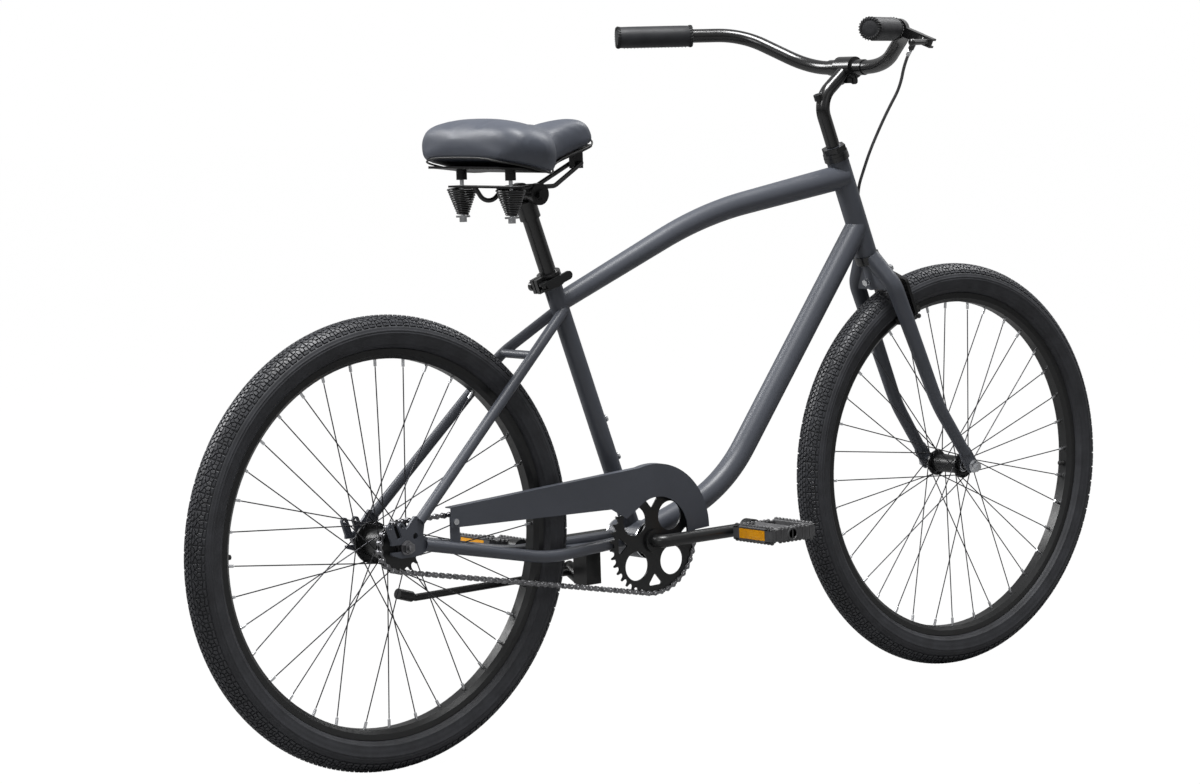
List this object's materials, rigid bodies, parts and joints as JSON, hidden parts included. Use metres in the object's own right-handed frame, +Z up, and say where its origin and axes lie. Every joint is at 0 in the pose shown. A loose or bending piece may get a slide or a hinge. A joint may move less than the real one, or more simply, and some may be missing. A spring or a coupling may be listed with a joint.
{
  "type": "bicycle",
  "caption": "Beach cruiser bicycle with a curved frame, coaster hub, front caliper brake, sprung saddle, chainguard and kickstand",
  "frame": {"origin": "on the ground midway between the two wheels' contact points", "axes": "+X forward, +Y to the rider's left, +Z up"},
  "size_m": [1.8228, 0.6339, 1.0743],
  "materials": {
    "frame_paint": "matte charcoal paint",
    "black_metal": "gloss black paint",
    "bright_steel": "bright plated",
    "dark_steel": "dark oiled steel",
    "tyre_rubber": "matte black rubber",
    "soft_rubber": "matte black rubber",
    "black_plastic": "matte black",
    "amber_plastic": "clear amber reflector",
    "grip_cover": "stitched black cover",
    "saddle_vinyl": "soft matte vinyl"
  },
  "bodies": {
    "frame": {"head_tube": "frame_paint", "top_tube": "frame_paint", "down_tube": "frame_paint", "seat_tube": "frame_paint", "bottom_bracket_shell": "frame_paint", "chainstays": "frame_paint", "seatstays": "frame_paint", "rear_dropouts": "frame_paint", "stay_bridges": "frame_paint", "headset_cups": "black_metal", "bottom_bracket_cups": "bright_steel", "seat_clamp": "black_metal", "chainguard": "frame_paint", "frame_screws": "bright_steel", "reaction_arm": "frame_paint", "rear_axle": "bright_steel", "chain": "dark_steel", "kickstand_bracket": "black_metal"},
    "fork_assembly": {"fork_steerer": "frame_paint", "fork_legs": "frame_paint", "fork_tips": "frame_paint", "headset_races": "black_metal", "stem": "black_metal", "fork_bolts": "bright_steel", "handlebar": "black_metal", "grips": "grip_cover", "brake_perch": "black_metal", "brake_cable": "black_plastic", "front_axle": "bright_steel"},
    "lever_body": {"brake_lever": "black_metal"},
    "left_caliper": {"caliper_arm_left": "bright_steel", "brake_pad_left": "soft_rubber"},
    "right_caliper": {"caliper_arm_right": "bright_steel", "brake_pad_right": "soft_rubber"},
    "front_wheel": {"front_tyre": "tyre_rubber", "front_inner_tube": "soft_rubber", "front_rim": "black_metal", "front_spokes": "dark_steel", "front_hub": "black_metal"},
    "rear_wheel": {"rear_tyre": "tyre_rubber", "rear_inner_tube": "soft_rubber", "rear_rim": "black_metal", "rear_spokes": "dark_steel", "rear_hub": "black_metal"},
    "hub_driver": {"rear_sprocket": "dark_steel"},
    "crankset": {"crank": "black_metal", "crank_fittings": "bright_steel", "chainring": "black_metal"},
    "left_pedal": {"pedal_left": "black_plastic", "pedal_reflectors_left": "amber_plastic"},
    "right_pedal": {"pedal_right": "black_plastic", "pedal_reflectors_right": "amber_plastic"},
    "post_assembly": {"seatpost": "black_metal", "saddle_clamp": "black_metal"},
    "saddle_base": {"saddle_rails": "black_metal", "saddle_springs": "black_metal"},
    "saddle_top": {"saddle_pan": "black_plastic", "saddle_cover": "saddle_vinyl"},
    "kickstand": {"kickstand_leg": "black_metal"},
    "clamp_handle": {"seat_clamp_lever": "black_metal"}
  },
  "joints": [
    {"name": "steering", "type": "hinge", "parent": "frame", "child": "fork_assembly", "pos_m": [0.39876, 0, 0.695], "axis": [-0.3502, 0, 0.9367], "range_deg": [-60, 60]},
    {"name": "front_wheel_spin", "type": "hinge", "parent": "fork_assembly", "child": "front_wheel", "pos_m": [0.5775, 0, 0.334], "axis": [0, 1, 0], "continuous": true},
    {"name": "rear_wheel_spin", "type": "hinge", "parent": "frame", "child": "rear_wheel", "pos_m": [-0.5775, 0, 0.334], "axis": [0, 1, 0], "continuous": true},
    {"name": "crank_spin", "type": "hinge", "parent": "frame", "child": "crankset", "pos_m": [-0.10423, 0, 0.288], "axis": [0, 1, 0], "continuous": true, "deforming": ["chain"]},
    {"name": "driver_spin", "type": "hinge", "parent": "frame", "child": "hub_driver", "pos_m": [-0.5775, 0, 0.334], "axis": [0, 1, 0], "continuous": true},
    {"name": "left_pedal_spin", "type": "hinge", "parent": "crankset", "child": "left_pedal", "pos_m": [-0.26917, 0.082, 0.28368], "axis": [0, 1, 0], "continuous": true},
    {"name": "right_pedal_spin", "type": "hinge", "parent": "crankset", "child": "right_pedal", "pos_m": [0.06071, -0.082, 0.29232], "axis": [0, 1, 0], "continuous": true},
    {"name": "lever_pull", "type": "hinge", "parent": "fork_assembly", "child": "lever_body", "pos_m": [0.289, -0.26526, 1.03442], "axis": [-0.2132, 0.3465, -0.9135], "range_deg": [0, 8], "stiffness_Nm_per_rad": 1.2, "springref_deg": -5.73},
    {"name": "left_caliper_swing", "type": "hinge", "parent": "fork_assembly", "child": "left_caliper", "pos_m": [0.44462, 0, 0.66656], "axis": [-0.9367, 0, -0.3502], "range_deg": [0, 1.2]},
    {"name": "right_caliper_swing", "type": "hinge", "parent": "fork_assembly", "child": "right_caliper", "pos_m": [0.44462, 0, 0.66656], "axis": [0.9367, 0, 0.3502], "range_deg": [0, 1.2]},
    {"name": "kickstand_swing", "type": "hinge", "parent": "frame", "child": "kickstand", "pos_m": [-0.195, 0.042, 0.243], "axis": [-0.0378, -0.9156, -0.4004], "range_deg": [0, 112]},
    {"name": "post_slide", "type": "slide", "parent": "frame", "child": "post_assembly", "axis": [-0.3387, 0, 0.9409], "range_m": [-0.085, 0.06]},
    {"name": "saddle_tilt", "type": "hinge", "parent": "post_assembly", "child": "saddle_base", "pos_m": [-0.287, 0, 0.828], "axis": [0, 1, 0], "range_deg": [-10, 10]},
    {"name": "saddle_bounce", "type": "hinge", "parent": "saddle_base", "child": "saddle_top", "pos_m": [-0.195, 0, 0.87], "axis": [0, -1, 0], "range_deg": [0, 1.5], "stiffness_Nm_per_rad": 90, "springref_deg": -6.88, "deforming": ["saddle_springs"]},
    {"name": "clamp_handle_swing", "type": "hinge", "parent": "frame", "child": "clamp_handle", "pos_m": [-0.27539, -0.01605, 0.68871], "axis": [0.3387, 0, -0.9409], "range_deg": [0, 130]}
  ],
  "couplings": [
    {"joint": "driver_spin", "follows": "crank_spin", "ratio": 2.2222},
    {"joint": "left_caliper_swing", "follows": "lever_pull", "ratio": 0.13},
    {"joint": "right_caliper_swing", "follows": "lever_pull", "ratio": 0.13}
  ]
}
